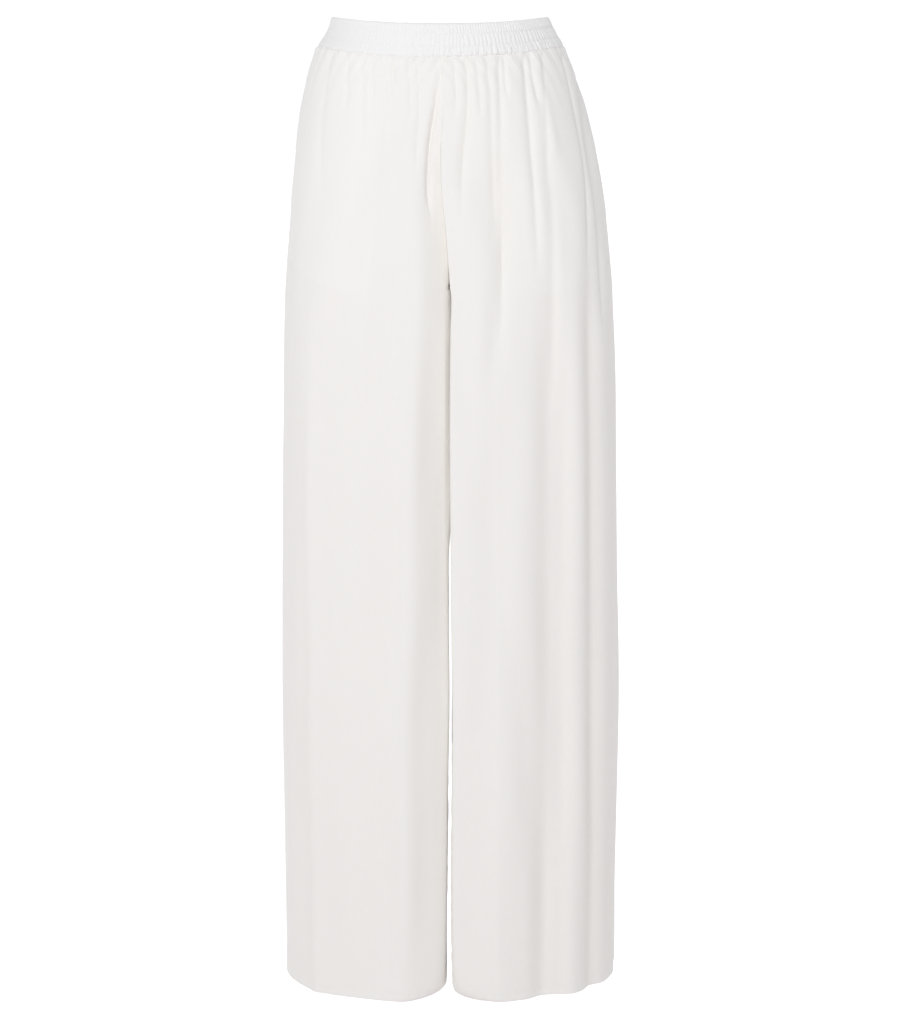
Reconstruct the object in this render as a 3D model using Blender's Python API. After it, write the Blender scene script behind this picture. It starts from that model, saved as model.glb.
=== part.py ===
"""Straight-leg pull-on trousers in thin crepe: two legs cut as fronts and backs, an elasticated
waistband in three channels, narrow hems and a pocket bag hung in each side seam. They are filled
out as worn, so the waist and both hems are open and the cloth is a wall all round.

Metres, +Z up. The front faces -Y and the wearer's left is +X. The origin is the middle of the
waist opening, level with the top edge of the waistband at the sides.
"""

import functools
import math

import bmesh
import bpy
import numpy as np
from mathutils import Vector

MM = 0.001

# Driving sizes, in millimetres.
WALL = 1.2  # cloth of the legs
SEAM_GAP = 0.3  # between two pieces that are sewn together
BAND_DEPTH = 36.0  # waistband, top edge to seam
CHANNELS = 3  # rows of elastic in the waistband
BAND_WALL = 2.6  # waistband at a stitch line
CHANNEL_PUFF = 1.5  # how far a channel stands out over its elastic
HEM_DEPTH = 9.0  # turned-up cloth inside each leg
LENGTH = 1080.0  # waistband's top edge to the hem, at the side
FRONT_DIP = 8.6  # the waist is lower at the centre front than at the sides
BACK_DIP = 5.5
LEVEL_BELOW = 290.0  # no dip is left this far down, at the crotch

# The form of the garment, a row for each section, in millimetres (square has no unit).
#   depth        how far the section is below the waist's top edge
#   half_width   from the middle of the garment to the outer side of a leg
#   inner        from the middle to the inner side of the leg's own loop; where it is below zero
#                the two loops run into each other and make one, with a cleft between the legs
#   centre_y     the middle of the loop, front to back
#   front, back  how far the loop reaches forward and back of that
#   shear        the inner side of the loop lies this much forward, and the outer side back
#   square       2 is an ellipse, and more is fuller at the corners
#   mid_x        sideways place of the middle, because the hips are pushed to one side
#   inseam_lead  how far round to the front the inseam hangs
#   side_lag     how far round to the back the side seam hangs
#   front_sway   how far the centre front seam hangs off the middle, sideways
SECTION_COLUMNS = (
    "depth", "half_width", "inner", "centre_y", "front", "back",
    "shear", "square", "mid_x", "inseam_lead", "side_lag", "front_sway",
)
SECTIONS = np.array((
    (0,    118.0, -118.0,  0.0,  92.0,  93.0,  0.0, 2.15,  0.0,  0.0,  0.0,  0.0),
    (36,   134.0, -134.0,  1.0, 101.0, 103.0,  0.0, 2.20,  0.6,  0.0,  0.0, -2.0),
    (57,   143.5, -141.0,  2.0, 107.0, 110.0,  0.0, 2.25,  1.4,  0.0,  0.0, -4.0),
    (90,   153.0, -128.0,  3.0, 113.0, 118.0,  0.0, 2.30,  2.8,  0.0,  0.0, -2.0),
    (130,  162.0,  -84.0,  5.0, 118.0, 124.0,  1.0, 2.40,  4.8,  0.0,  1.0, -8.0),
    (180,  170.0,  -44.0,  7.0, 121.0, 127.0,  3.0, 2.50,  7.4,  0.0,  2.0, -9.0),
    (220,  174.5,  -20.0,  8.0, 123.0, 126.0,  5.0, 2.55,  8.8,  0.0,  3.0, -3.0),
    (255,  177.8,   -6.5,  8.0, 124.0, 122.0,  7.0, 2.60,  9.4,  0.0,  4.0, -1.0),
    (278,  179.8,   -1.4,  8.0, 124.0, 118.0,  8.0, 2.65,  9.8,  0.0,  4.0,  0.0),
    (290,  180.8,    0.6,  8.0, 124.0, 116.0,  9.0, 2.65, 10.0,  0.0,  4.0,  0.0),
    (330,  182.6,    1.2,  8.0, 124.0, 112.0, 11.0, 2.70, 10.2,  9.0,  5.0,  0.0),
    (450,  186.3,    1.4, 10.0, 124.0, 108.0, 15.0, 2.75, 10.5, 26.0,  7.0,  0.0),
    (570,  188.8,    1.7, 12.0, 124.0, 106.0, 18.0, 2.80, 10.7, 40.0,  9.0,  0.0),
    (740,  191.2,    2.2, 14.0, 124.0, 106.0, 22.0, 2.85, 11.0, 54.0, 11.0,  0.0),
    (930,  190.6,    2.3, 15.0, 124.0, 106.0, 26.0, 2.90, 11.2, 63.0, 13.0,  0.0),
    (1080, 190.6,    3.6, 15.0, 124.0, 106.0, 28.0, 2.90, 11.2, 66.0, 14.0,  0.0),
))  # fmt: skip

# The largest folds, a row for each, in millimetres.
#   leg                the wearer's left is 1 and right is -1
#   face               where it lies round the leg; its place is the distance outwards from the
#                      middle on the front and back, and the distance back on the inner and outer
#   place, place_low   its place at its upper and lower end
#   top, bottom        how far down it starts and ends
#   at_top, at_bottom  its strength at each end, where 1 is as strong as halfway
#   height             how far it stands out, or lies in where it is below zero
#   width              from its middle to where it has nearly run out
FOLD_COLUMNS = (
    "leg", "face", "place", "place_low", "top", "bottom", "at_top", "at_bottom", "height", "width",
)
FOLDS = (
    # The wearer's right leg, front: gathers, the crease that sets off the inner side, the flank.
    (-1, "front",   5,  14,   40,  230, 0.6, 0.3, -5.5, 18),
    (-1, "front",  60,  60,   40,  170, 0.8, 0.0, -2.2, 16),
    (-1, "front", 102, 112,   40,  170, 0.8, 0.0, -2.4, 16),
    (-1, "front",  16,  26,  170,  430, 0.2, 0.0, -2.6, 20),
    (-1, "front",  38,  44,  260, 1080, 0.0, 0.5,  3.4, 24),
    (-1, "front",  24,  22,  560, 1080, 0.0, 1.0, -4.0, 17),
    (-1, "front", 157, 163,  260, 1080, 0.0, 1.0, -4.4, 18),
    (-1, "front", 100,  92,  380, 1080, 0.0, 0.5,  2.4, 44),
    # The wearer's left leg, front: two long troughs with a ridge between them.
    (1, "front",  28,  20,   44,  200, 0.8, 0.1, -3.2, 15),
    (1, "front",  50,  57,   40,  190, 0.8, 0.3, -3.4, 15),
    (1, "front",  58,  43,  130,  420, 0.2, 0.0, -3.6, 22),
    (1, "front",  88,  95,   40,  235, 0.8, 0.2, -4.0, 16),
    (1, "front", 104,  96,  180, 1080, 0.4, 1.0, -6.2, 21),
    (1, "front", 121, 120,  200, 1080, 0.0, 0.5,  4.0, 19),
    (1, "front", 124, 134,   40,  235, 0.9, 0.0, -4.2, 15),
    (1, "front", 142, 157,   44,  270, 1.0, 0.6, -6.2, 16),
    (1, "front", 154, 161,  240, 1080, 0.6, 0.6, -5.0, 17),
    (1, "front", 120, 108,  385,  490, 0.0, 0.0, -2.2, 16),
    (1, "front",  20,  22,  620, 1080, 0.0, 1.0, -2.8, 17),
    # The backs, where the cloth hangs from the seat in longer and softer folds.
    (-1, "back",  40,  34,   44,  230, 0.9, 0.0, -4.0, 17),
    (-1, "back",  86,  98,   44,  210, 0.9, 0.0, -4.0, 17),
    (-1, "back",  60,  78,  250, 1080, 0.0, 0.8, -6.0, 24),
    (-1, "back", 128, 118,  300, 1080, 0.0, 0.9, -5.0, 22),
    (-1, "back",  96,  98,  320, 1040, 0.0, 0.4,  3.5, 20),
    (1, "back",  52,  44,   44,  220, 0.9, 0.0, -4.5, 18),
    (1, "back", 104, 112,   44,  240, 0.9, 0.0, -4.0, 17),
    (1, "back",  84,  92,  270, 1080, 0.0, 0.9, -6.5, 25),
    (1, "back", 134, 126,  360, 1080, 0.0, 0.8, -5.0, 21),
    (1, "back", 112, 108,  340, 1060, 0.0, 0.4,  3.5, 20),
    # The inner sides lie against each other below the crotch, one bowed into the other.
    (-1, "inner",  50,  54,  294,  650, 0.0, 0.0,  6.5, 34),
    (1, "inner",   50,  54,  294,  650, 0.0, 0.0, -4.0, 42),
    (1, "inner",   70,  84,  640, 1080, 0.0, 0.7, -4.0, 26),
    (-1, "inner",  60,  70,  680, 1080, 0.0, 0.7, -4.0, 26),
    # The outer sides.
    (-1, "outer",  40,  60,  360, 1080, 0.0, 0.8, -4.0, 24),
    (1, "outer",   30,  52,  320, 1080, 0.0, 0.8, -4.0, 24),
)  # fmt: skip

# Pocket bags, cut in two layers that hang inside the front from the waist and side seam. The
# outline is seen from the front: how far out from the middle, and how far down.
BAG_WALL = 1.0
BAG_OUTLINE = (
    (77, 20), (79, 170), (84, 250), (90, 288), (100, 294), (112, 293), (128, 288), (143, 282),
    (158, 273), (200, 248), (200, 20),
)  # fmt: skip

# How finely each piece is divided.
HEM_TURN = WALL + SEAM_GAP / 2  # radius of the cloth's half turn at the hem
HEM_TURN_ROWS = 2
PANEL_ROWS = (
    36.3, 50, 75, 105, 140, 175, 205, 232, 255, 272, 283, 290, 310, 380, 480, 600, 740, 900, 1020,
    LENGTH - HEM_TURN,
)  # fmt: skip
INNER_SHARE = 7 / 18  # of a panel's columns, for the part that widens at the crotch
WIDTH_IN_STEP = 1.9  # a panel's width, if it kept step with the garment's half width
FRONT_COLUMNS = 18
BACK_COLUMNS = 14
BAND_COLUMNS = 32
BAND_ROWS_PER_CHANNEL = 2
BAG_FIRST_COLUMN = 7
BAG_ROWS = 12
RING_STEPS = 160

IVORY = (0.886, 0.855, 0.815)
BAND_IVORY = (0.905, 0.880, 0.845)
POCKETING = (0.915, 0.895, 0.865)


def size_at(column, depth):
    """A column of SECTIONS at any depth, on a smooth curve through its rows."""
    depths = SECTIONS[:, 0]
    values = SECTIONS[:, SECTION_COLUMNS.index(column)]
    slopes = np.gradient(values, depths)
    row = int(np.clip(np.searchsorted(depths, depth) - 1, 0, len(depths) - 2))
    step = depths[row + 1] - depths[row]
    t = (depth - depths[row]) / step
    return float(
        values[row] * (1 + 2 * t) * (1 - t) ** 2
        + values[row + 1] * t * t * (3 - 2 * t)
        + slopes[row] * step * t * (1 - t) ** 2
        - slopes[row + 1] * step * t * t * (1 - t)
    )


def remove_start_objects():
    for scene_object in list(bpy.data.objects):
        bpy.data.objects.remove(scene_object)


def strength(fold, depth):
    """How strong a fold is at a depth, easing in from its top and out at its bottom."""
    if not fold["top"] < depth < fold["bottom"]:
        return fold["at_bottom"] if depth == fold["bottom"] else 0.0
    along = (depth - fold["top"]) / (fold["bottom"] - fold["top"])
    rise = min(along / 0.3, 1.0)
    fall = min((1 - along) / 0.3, 1.0)
    ease_in = fold["at_top"] + (1 - fold["at_top"]) * rise * rise * (3 - 2 * rise)
    ease_out = fold["at_bottom"] + (1 - fold["at_bottom"]) * fall * fall * (3 - 2 * fall)
    return ease_in * ease_out


def outward(x, y):
    """Unit normals of a loop that runs from its front, round the outside, to its back."""
    along_x = np.gradient(x)
    along_y = np.gradient(y)
    length = np.hypot(along_x, along_y)
    return along_y / length, -along_x / length


class Loop:
    """One leg's cloth at one depth, in millimetres: x is outwards from the middle, y is back.

    Above the crotch it starts and ends on the middle plane. Below it the ends meet, and it runs on
    for a little so that the inseam can lie off the innermost point. Distance round it is zero at
    the outermost point, negative on the front and positive on the back.
    """

    def __init__(self, depth, leg):
        outer = size_at("half_width", depth)
        inner = size_at("inner", depth)
        square = size_at("square", depth)
        half = (outer - inner) / 2
        middle = (outer + inner) / 2
        self.closed = inner >= 0
        if self.closed:
            end = math.pi
        else:
            end = math.acos(-((max(middle, 0.0) / half) ** (square / 2)))
        turn = np.linspace(-end, end, 2 * RING_STEPS + 1)
        if self.closed:
            turn = np.append(turn, turn[1:81] + 2 * math.pi)
        across = np.sign(np.cos(turn)) * np.abs(np.cos(turn)) ** (2 / square)
        along = np.sign(np.sin(turn)) * np.abs(np.sin(turn)) ** (2 / square)
        reach = np.where(along < 0, size_at("front", depth), size_at("back", depth))
        self.x = middle + half * across
        self.y = size_at("centre_y", depth) + reach * along + size_at("shear", depth) * across
        steps = np.hypot(np.diff(self.x), np.diff(self.y))
        self.at = np.concatenate(([0.0], np.cumsum(steps)))
        self.at -= self.at[RING_STEPS]
        self.front_end = self.at[0]
        self.back_end = self.at[2 * RING_STEPS]
        self.lift = self.folded(depth, leg)
        normal_x, normal_y = outward(self.x, self.y)
        self.x = self.x + normal_x * self.lift
        self.y = self.y + normal_y * self.lift
        self.normal_x, self.normal_y = outward(self.x, self.y)

    def folded(self, depth, leg):
        """How far the folds lift the cloth off the plain form, all round."""
        lift = np.zeros_like(self.at)
        round_whole = self.back_end - self.front_end
        for row in FOLDS:
            fold = dict(zip(FOLD_COLUMNS, row))
            amount = strength(fold, depth) * fold["height"]
            if fold["leg"] != leg or amount == 0:
                continue
            low = (depth - fold["top"]) / (fold["bottom"] - fold["top"])
            place = fold["place"] + (fold["place_low"] - fold["place"]) * low
            off = self.at - self.find(fold["face"], place)
            if self.closed:
                off -= round_whole * np.round(off / round_whole)
            lift += amount * np.exp(-2.2 * (off / fold["width"]) ** 2)
        return lift

    def find(self, face, place):
        """Distance round the loop of a place on one of its faces."""
        quarter = RING_STEPS // 2
        parts = {
            "front": (slice(0, RING_STEPS + 1), self.x),
            "back": (slice(RING_STEPS, 2 * RING_STEPS + 1), self.x),
            "outer": (slice(RING_STEPS - quarter, RING_STEPS + quarter + 1), self.y),
            "inner": (slice(2 * RING_STEPS - quarter, 2 * RING_STEPS + 1), self.y),
        }
        part, values = parts[face]
        values = values[part]
        distances = self.at[part]
        order = np.argsort(values)
        return float(np.interp(place, values[order], distances[order]))


@functools.lru_cache(maxsize=None)
def loop(depth, leg):
    return Loop(depth, leg)


def on_form(leg, distance, depth, inset, seam=SEAM_GAP / 2):
    """A point of the garment, in metres: so far round a leg, so far down, and so far inside."""
    ring = loop(round(depth, 4), leg)
    normal_x = np.interp(distance, ring.at, ring.normal_x)
    normal_y = np.interp(distance, ring.at, ring.normal_y)
    x = np.interp(distance, ring.at, ring.x) - inset * normal_x
    y = np.interp(distance, ring.at, ring.y) - inset * normal_y
    if not ring.closed:
        x = max(x, seam)
    left = max(0.0, 1 - depth / LEVEL_BELOW)
    if y < 0:
        dip = FRONT_DIP * (y / size_at("front", depth)) ** 2
        sway = size_at("front_sway", depth) * math.exp(-((x / 60) ** 2))
    else:
        dip = BACK_DIP * (y / size_at("back", depth)) ** 2
        sway = 0.0
    x = leg * x + sway + size_at("mid_x", depth)
    return Vector((x * MM, y * MM, -(depth + dip * left) * MM))


def panel_span(leg, face, depth):
    """Where a panel starts and ends round its leg: at the inner edge, and at the side seam."""
    ring = loop(round(depth, 4), leg)
    side = size_at("side_lag", depth)
    lead = size_at("inseam_lead", depth)
    gap = SEAM_GAP / 2
    if face == "front":
        return ring.front_end + lead + gap, side - gap
    return ring.back_end + lead - gap, side + gap


def across_panel(leg, face, across, depth):
    """Distance round the leg at a share of a panel's width, from the inner edge to the side seam.

    The outer part keeps its threads straight down, in step with the garment's width. What the
    crotch adds to the width goes into the inner part.
    """
    inner_edge, side_seam = panel_span(leg, face, depth)
    full = math.copysign(WIDTH_IN_STEP * size_at("half_width", depth), inner_edge - side_seam)
    if across >= INNER_SHARE:
        return side_seam + full * (1 - across)
    knee = side_seam + full * (1 - INNER_SHARE)
    return inner_edge + (knee - inner_edge) * across / INNER_SHARE


def flat_piece(columns, rows):
    """A flat cut piece as a closed block, 1 by 1 by 1 from its corner, divided into cells.

    It lies with x across it, y down it and z into its thickness. What it is bent onto gives its
    real size. Every cell is split the same way, so that layers stay parallel.
    """
    mesh = bmesh.new()
    bmesh.ops.create_grid(mesh, x_segments=columns, y_segments=rows, size=0.5)
    bmesh.ops.translate(mesh, vec=(0.5, 0.5, 0.0), verts=mesh.verts)
    bmesh.ops.triangulate(mesh, faces=mesh.faces, quad_method="FIXED")
    grown = bmesh.ops.extrude_face_region(mesh, geom=mesh.faces[:], use_keep_orig=True)
    inside = [item for item in grown["geom"] if isinstance(item, bmesh.types.BMVert)]
    bmesh.ops.translate(mesh, vec=(0.0, 0.0, 1.0), verts=inside)
    return mesh


def sew(name, mesh, place, colour, roughness):
    """Bend a flat piece onto the garment and give it its cloth."""
    for vert in mesh.verts:
        vert.co = place(*vert.co)
    bmesh.ops.recalc_face_normals(mesh, faces=mesh.faces)
    if mesh.calc_volume(signed=True) < 0:
        bmesh.ops.reverse_faces(mesh, faces=mesh.faces)
    data = bpy.data.meshes.new(name)
    mesh.to_mesh(data)
    mesh.free()
    data.shade_smooth()
    data.set_sharp_from_angle(angle=math.radians(50))
    piece = bpy.data.objects.new(name, data)
    bpy.context.scene.collection.objects.link(piece)
    cloth = bpy.data.materials.new(name)
    cloth.use_nodes = True
    shader = cloth.node_tree.nodes["Principled BSDF"]
    shader.inputs["Base Color"].default_value = (*colour, 1.0)
    shader.inputs["Roughness"].default_value = roughness
    shader.inputs["Metallic"].default_value = 0.0
    data.materials.append(cloth)
    return piece


def panel_point(leg, face, across, row, inset):
    """A point of a panel, so far across from its inner edge and so many rows down."""
    depth = float(np.interp(row, range(len(PANEL_ROWS)), PANEL_ROWS))
    return on_form(leg, across_panel(leg, face, across, depth), depth, inset)


def make_panel(name, leg, face, columns):
    """A front or back, cut from the waistband to the hem, with the hem turned up inside it.

    The inner edge is the crotch seam down to the crotch, and the inseam below it. At the hem the
    cloth goes round a half turn and up again, clear of itself.
    """
    last = len(PANEL_ROWS) - 1
    straight = PANEL_ROWS[-1]
    total = last + HEM_TURN_ROWS + 1

    def place(across, down, inward):
        row = down * total
        if row < last + 0.5:
            return panel_point(leg, face, across, row, inward * WALL)
        angle = math.pi * min((row - last) / HEM_TURN_ROWS, 1.0)
        radius = HEM_TURN - inward * WALL
        depth = straight + radius * math.sin(angle)
        if row > last + HEM_TURN_ROWS + 0.5:
            depth -= HEM_DEPTH - HEM_TURN
        distance = across_panel(leg, face, across, depth)
        return on_form(leg, distance, depth, HEM_TURN - radius * math.cos(angle))

    return sew(name, flat_piece(columns, total), place, IVORY, 0.8)


def make_waistband():
    """One strip, joined to itself at the centre back, puffed out over each row of elastic."""

    def place(around, down, inward):
        depth = BAND_DEPTH * down
        puff = CHANNEL_PUFF * math.sin(math.pi * CHANNELS * down) ** 2
        quarter = min(int(around * 4), 3)
        leg = 1 if quarter < 2 else -1
        ring = loop(round(depth, 4), leg)
        back_end = ring.back_end - SEAM_GAP / 2
        stops = (back_end, 0.0, ring.front_end, 0.0, back_end)
        part = around * 4 - quarter
        distance = stops[quarter] + (stops[quarter + 1] - stops[quarter]) * part
        return on_form(leg, distance, depth, inward * BAND_WALL - puff, seam=-BAND_WALL)

    mesh = flat_piece(BAND_COLUMNS, CHANNELS * BAND_ROWS_PER_CHANNEL)
    return sew("waistband", mesh, place, BAND_IVORY, 0.85)


def make_bag_outline(leg):
    """A block, as seen from the front, that each layer of a pocket bag is cut out by."""
    outline = [(x, -depth) for x, depth in BAG_OUTLINE]
    mesh = bmesh.new()
    corners = [mesh.verts.new(((leg * x) * MM, -0.2, z * MM)) for x, z in outline]
    face = mesh.faces.new(corners)
    grown = bmesh.ops.extrude_face_region(mesh, geom=[face], use_keep_orig=True)
    behind = [item for item in grown["geom"] if isinstance(item, bmesh.types.BMVert)]
    bmesh.ops.translate(mesh, vec=(0.0, 0.3, 0.0), verts=behind)
    bmesh.ops.recalc_face_normals(mesh, faces=mesh.faces)
    data = bpy.data.meshes.new("bag_outline")
    mesh.to_mesh(data)
    mesh.free()
    cutter = bpy.data.objects.new("bag_outline", data)
    cutter.hide_render = True
    cutter.display_type = "WIRE"
    bpy.context.scene.collection.objects.link(cutter)
    return cutter


def make_bag_layer(name, leg, inset, outline):
    """One layer of a pocket bag: the front's own form moved inside, cut to the bag's outline."""
    first = BAG_FIRST_COLUMN / FRONT_COLUMNS

    def place(across, down, inward):
        depth_in = inset + inward * BAG_WALL
        return panel_point(leg, "front", first + (1 - first) * across, down * BAG_ROWS, depth_in)

    mesh = flat_piece(FRONT_COLUMNS - BAG_FIRST_COLUMN, BAG_ROWS)
    layer = sew(name, mesh, place, POCKETING, 0.8)
    cut = layer.modifiers.new("outline", "BOOLEAN")
    cut.operation = "INTERSECT"
    cut.object = outline
    return layer


remove_start_objects()
make_waistband()
for side, leg in (("left", 1), ("right", -1)):
    make_panel(f"front_panel_{side}", leg, "front", FRONT_COLUMNS)
    make_panel(f"back_panel_{side}", leg, "back", BACK_COLUMNS)
    outline = make_bag_outline(leg)
    make_bag_layer(f"pocket_bag_front_{side}", leg, WALL + SEAM_GAP, outline)
    make_bag_layer(f"pocket_bag_back_{side}", leg, WALL + 2 * SEAM_GAP + BAG_WALL, outline)
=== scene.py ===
"""The straight-leg trousers, dressed: ivory crepe, gathered into a waistband with three rows of
elastic, with a pocket bag in each side seam, all of it filled out as it is worn.

Sizes are in millimetres until they are put into a mesh, which is in metres. The front faces -Y,
the wearer's left is +X, and the origin is the middle of the waist opening.
"""

import math

import bmesh
import bpy
import numpy as np
from mathutils import Matrix, Vector


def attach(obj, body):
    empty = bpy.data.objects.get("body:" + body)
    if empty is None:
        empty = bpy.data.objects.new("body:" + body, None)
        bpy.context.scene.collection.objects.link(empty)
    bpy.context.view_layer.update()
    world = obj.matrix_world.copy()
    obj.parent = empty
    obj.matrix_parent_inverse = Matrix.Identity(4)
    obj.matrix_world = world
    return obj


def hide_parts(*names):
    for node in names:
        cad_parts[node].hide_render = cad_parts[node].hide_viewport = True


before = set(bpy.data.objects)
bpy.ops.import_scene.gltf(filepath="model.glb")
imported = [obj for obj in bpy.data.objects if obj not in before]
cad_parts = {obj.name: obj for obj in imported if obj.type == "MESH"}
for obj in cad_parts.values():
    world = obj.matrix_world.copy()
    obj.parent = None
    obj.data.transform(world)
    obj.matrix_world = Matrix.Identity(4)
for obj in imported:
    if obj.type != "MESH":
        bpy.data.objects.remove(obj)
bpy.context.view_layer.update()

# --------------------
# Fronts and backs. Each leg is two pieces of thin crepe, sewn at the side, the inseam and round
# the crotch, and gathered at the top. The hem is the cloth's own edge turned up inside.

MM = 0.001
LENGTH = 1080.0
BAND_DEPTH = 36.0
CREPE = 0.7
# The waist dips at the front and back and lifts at the sides, down to LEVEL_BELOW.
FRONT_DIP = 8.6
BACK_DIP = 5.5
SIDE_LIFT = 4.5
LEVEL_BELOW = 290.0
# The clearance of sewn edges, and how far the centre back and centre front seams hold the cloth
# from leaning sideways.
SEAM_CLEARANCE = 0.02
SEAM_HOLD = 8.0
FRONT_SEAM_HOLD = 1.5
HEM_DEPTH = 9.0
HEM_TURN = 0.95
HEM_STITCHED_AT = 1072.0
STITCH = 2.5
STITCH_STEP = 3.1
THREAD = 0.32

# The garment's sections, one a row: how far down it is, the outer side and inner side of a leg's
# loop from the middle, its centre front to back, how far it reaches forward and back, how much
# the outer side lies further back than the inner, how square it is, how square its inner front
# corner is, where the middle lies sideways, how near that corner the inseam hangs, how far round
# to the back the side seam hangs, how far the centre front seam hangs sideways, and how far the
# wearer's right leg is tucked in beside it.
SECTION_COLUMNS = (
    "depth", "half_width", "inner", "centre_y", "front", "back",
    "shear", "square", "corner", "mid_x", "inseam", "side_lag", "front_sway", "tuck",
)
SECTIONS = np.array((
    (0,    118.0, -118.0,  0.0,  92.0,  93.0,  0.0, 2.15,  2.15,  0.0, 0.00,  0.0,  0.0,  0.0),
    (16,   123.6, -123.6,  0.4,  95.8,  97.2,  0.0, 2.17,  2.17,  1.1, 0.00,  0.0,  0.0,  0.0),
    (36,   134.0, -134.0,  1.0, 101.0, 103.0,  0.0, 2.20,  2.20,  0.6, 0.00,  0.0,  0.0,  0.0),
    (57,   143.5, -141.0,  2.0, 107.0, 110.0,  0.0, 2.25,  2.25,  1.4, 0.00,  0.0,  1.0,  0.0),
    (90,   153.0, -128.0,  3.0, 113.0, 118.0,  0.0, 2.30,  2.40,  2.8, 0.00,  0.0,  1.0,  0.0),
    (130,  162.0,  -84.0,  5.0, 118.0, 124.0,  1.0, 2.40,  3.00,  4.8, 0.00,  1.0, -3.5,  2.0),
    (180,  170.0,  -44.0,  7.0, 121.0, 127.0,  3.0, 2.50,  8.00,  7.4, 0.00,  2.0, -5.5,  9.0),
    (220,  174.5,  -20.0,  8.0, 123.0, 126.0,  5.0, 2.55, 24.00,  8.8, 0.00,  3.0, -3.0, 13.5),
    (255,  177.8,   -6.5,  8.0, 124.0, 122.0,  7.0, 2.60, 60.00,  9.4, 0.00,  4.0, -1.0, 15.0),
    (278,  179.8,   -1.4,  8.0, 124.0, 118.0,  8.0, 2.65, 80.00,  9.8, 0.00,  4.0,  0.0, 15.5),
    (290,  180.8,    0.4,  8.0, 124.0, 116.0,  9.0, 2.65, 86.00, 10.0, 0.00,  4.0,  0.0, 16.0),
    (330,  182.6,    0.8,  8.0, 124.0, 112.0, 11.0, 2.70, 90.00, 10.2, 0.42,  5.0,  0.0, 17.0),
    (450,  186.3,    1.1, 10.0, 124.0, 108.0, 15.0, 2.75, 76.00, 10.5, 0.85,  7.0,  0.0, 20.0),
    (570,  188.8,    1.3, 12.0, 124.0, 106.0, 18.0, 2.80, 70.00, 10.7, 0.96,  9.0,  0.0, 22.0),
    (740,  191.2,    1.7, 14.0, 124.0, 106.0, 22.0, 2.85, 60.00, 11.0, 1.00, 11.0,  0.0, 23.0),
    (930,  190.6,    2.0, 15.0, 124.0, 106.0, 26.0, 2.90, 50.00, 11.2, 1.00, 13.0,  0.0, 23.0),
    (1030, 190.6,    2.5, 15.0, 124.0, 106.0, 27.0, 2.90, 30.00, 11.2, 1.00, 14.0,  0.0, 21.0),
    (1080, 190.6,    3.0, 15.0, 124.0, 106.0, 28.0, 2.90,  3.90, 11.2, 1.00, 14.0,  0.0, 20.0),
))
SECTION_SLOPES = np.gradient(SECTIONS, SECTIONS[:, 0], axis=0)

# How deep the centre front seam lies in the groove between the legs, at each depth.
GROOVE = ((130, 0.0), (240, 0.1), (262, 0.5), (284, 4.0), (290, 90.0))
# How far the edge of the wearer's right leg rolls in beside the gap, and over what width.
EDGE_ROLL = ((255, 0.0), (290, 2.5), (480, 3.4), (550, 2.6), (610, 0.8), (720, 0.3), (1080, 0.2))
EDGE_ROLL_WIDTH = 4.4
TUCK_WIDTH = ((300, 33.0), (600, 46.0), (900, 52.0))
GROOVE_WALL = 0.35
# A squarer inner front corner than this has points of its own. Where across the leg the shear
# ends beside it, and how far sideways the cloth faces where it ends.
SQUARED_ABOVE = 2.6
SHEAR_UNTIL = 0.45
CORNER_FACING = -0.85

# The folds, listed for each leg (the wearer's left is 1) and face: where a fold is at its
# top, middle and bottom (outwards on the front and back, and backwards on the inner and outer),
# how far down it starts and ends, its strength there, its height and its width to each side.
FOLD_COLUMNS = (
    "place", "place_mid", "place_low", "top", "bottom", "at_top", "at_bottom", "height", "width",
)
FOLDS = {}
FOLDS[-1, "front"] = (
    # Short gathers under the waistband.
    (5,     12,  15,  58,  218, 0.0, 0.0, -6.4, 5.5),
    (2,      3,   4,  36,  100, 1.0, 0.0, -1.5,   6),
    (25,    25,  27,  36,  170, 1.0, 0.0, -2.0,   7),
    (34,    34,  36,  36,  112, 1.0, 0.0, -1.8,   5),
    (51,    51,  50,  36,   84, 1.0, 0.0, -3.0,   5),
    (61,    62,  62,  36,  150, 0.9, 0.0, -1.3,   9),
    (73,    74,  74,  36,  120, 1.0, 0.0, -1.6,   6),
    (84,    86,  88,  36,  190, 0.9, 0.0, -1.7,   9),
    (98,   101, 104,  36,  105, 1.0, 0.0, -1.3,   6),
    (116,  131, 134,  36,  190, 0.9, 0.0, -1.7,  11),
    # The crease that sets off the inner side of the leg, and the soft folds beyond it.
    (38,    44,  48, 260, 1080, 0.0, 0.5,  2.2,  20),
    (148,  152, 150, 250, 1080, 0.0, 1.3,  2.6,  15),
    (96,   104,  92, 330, 1080, 0.0, 0.5,  2.2,  40),
    (70,    74,  70, 480, 1060, 0.0, 0.3, -1.6,  30),
)
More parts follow.
